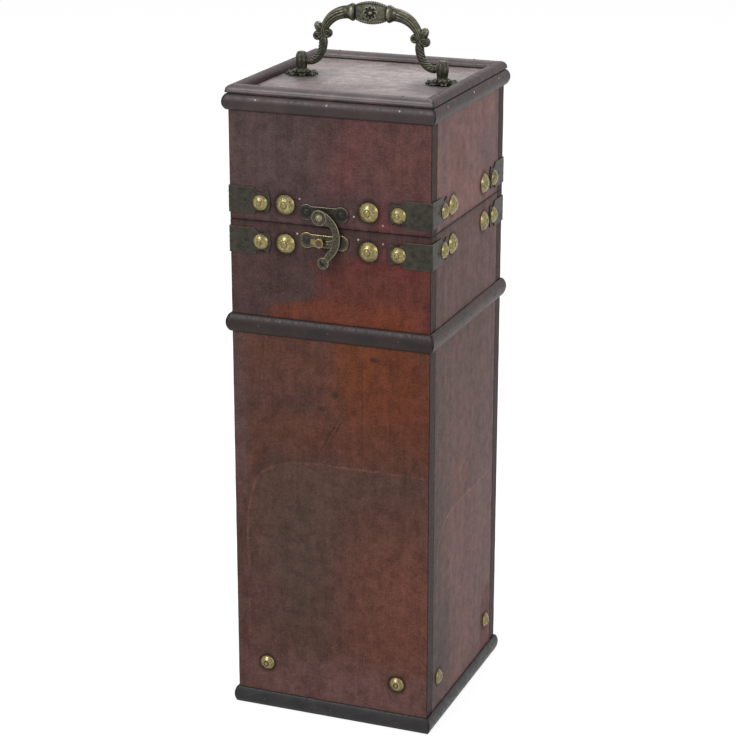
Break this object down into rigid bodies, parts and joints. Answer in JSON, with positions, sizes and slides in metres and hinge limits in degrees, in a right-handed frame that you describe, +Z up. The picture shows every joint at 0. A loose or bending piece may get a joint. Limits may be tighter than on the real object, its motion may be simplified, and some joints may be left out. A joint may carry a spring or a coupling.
{
  "type": "wooden wine box",
  "caption": "Tall square wooden box for a wine bottle, with a hinged lid, half-round mouldings, studded corner straps, a swing hook and a cast bail handle.",
  "frame": {"origin": "on the floor, under the middle of the four walls", "axes": "+Z up; -Y out of the front, where the hook is; +X to the right as seen from the front"},
  "size_m": [0.114, 0.1206, 0.3737],
  "materials": {
    "lid_board": "thin dark red-brown stain, satin, worn",
    "box_board": "thin dark red-brown stain, satin, worn",
    "inside_board": "dark stain, matt",
    "top_board": "dark stain, worn grey, satin",
    "moulding": "near-black brown stain, satin",
    "base_moulding": "near-black stain, satin",
    "strap_sheet": "dark antique bronze, thin bright edges",
    "nail_brass": "worn gold brass with a dark patina",
    "brad_wire": "bare wire ends",
    "latch_metal": "dark antique brass, worn bright on its edges",
    "hinge_metal": "dark antique bronze",
    "hinge_wire": "bare wire",
    "handle_metal": "cast, dark antique brass, worn bright on its high places",
    "screw_steel": "plain"
  },
  "bodies": {
    "box": {"bottom_board": "inside_board", "box_front": "box_board", "box_right": "box_board", "box_back": "box_board", "box_left": "box_board", "base_front": "base_moulding", "base_right": "base_moulding", "base_back": "base_moulding", "base_left": "base_moulding", "band_front": "moulding", "band_right": "moulding", "band_back": "moulding", "band_left": "moulding", "box_strap_front_left": "strap_sheet", "box_strap_front_right": "strap_sheet", "box_strap_back_right": "strap_sheet", "box_strap_back_left": "strap_sheet", "box_strap_nails": "nail_brass", "box_face_nails": "nail_brass", "base_nails": "nail_brass", "box_plate_nails": "latch_metal", "box_brads": "brad_wire", "catch_plate": "latch_metal", "catch_post": "latch_metal", "hinge_leaf_box_right": "hinge_metal", "hinge_leaf_box_left": "hinge_metal", "hinge_pins": "hinge_wire"},
    "lid": {"top_board": "top_board", "lid_front": "lid_board", "lid_right": "lid_board", "lid_back": "lid_board", "lid_left": "lid_board", "brow_front": "moulding", "brow_right": "moulding", "brow_back": "moulding", "brow_left": "moulding", "rim_front": "moulding", "rim_right": "moulding", "rim_back": "moulding", "rim_left": "moulding", "lid_strap_front_left": "strap_sheet", "lid_strap_front_right": "strap_sheet", "lid_strap_back_right": "strap_sheet", "lid_strap_back_left": "strap_sheet", "lid_strap_nails": "nail_brass", "lid_face_nails": "nail_brass", "lid_plate_nails": "latch_metal", "lid_brads": "brad_wire", "hook_plate": "latch_metal", "hook_rivet": "latch_metal", "hinge_leaf_lid_right": "hinge_metal", "hinge_leaf_lid_left": "hinge_metal", "handle_post_left": "handle_metal", "handle_post_right": "handle_metal", "handle_rosette_left": "handle_metal", "handle_rosette_right": "handle_metal", "handle_screws": "screw_steel"},
    "latch_hook": {"latch_hook": "latch_metal"},
    "handle": {"handle_bail": "handle_metal"}
  },
  "joints": [
    {"name": "lid_hinge", "type": "hinge", "parent": "box", "child": "lid", "pos_m": [0, 0.05755, 0.2695], "axis": [-1, 0, 0], "range_deg": [0, 160]},
    {"name": "hook_pivot", "type": "hinge", "parent": "lid", "child": "latch_hook", "pos_m": [-0.0042, -0.0578, 0.2748], "axis": [0, -1, 0], "range_deg": [-14, 90]},
    {"name": "handle_pivot", "type": "hinge", "parent": "lid", "child": "handle", "pos_m": [0, 0.002, 0.3413], "axis": [1, 0, 0], "range_deg": [-95, 95]}
  ]
}
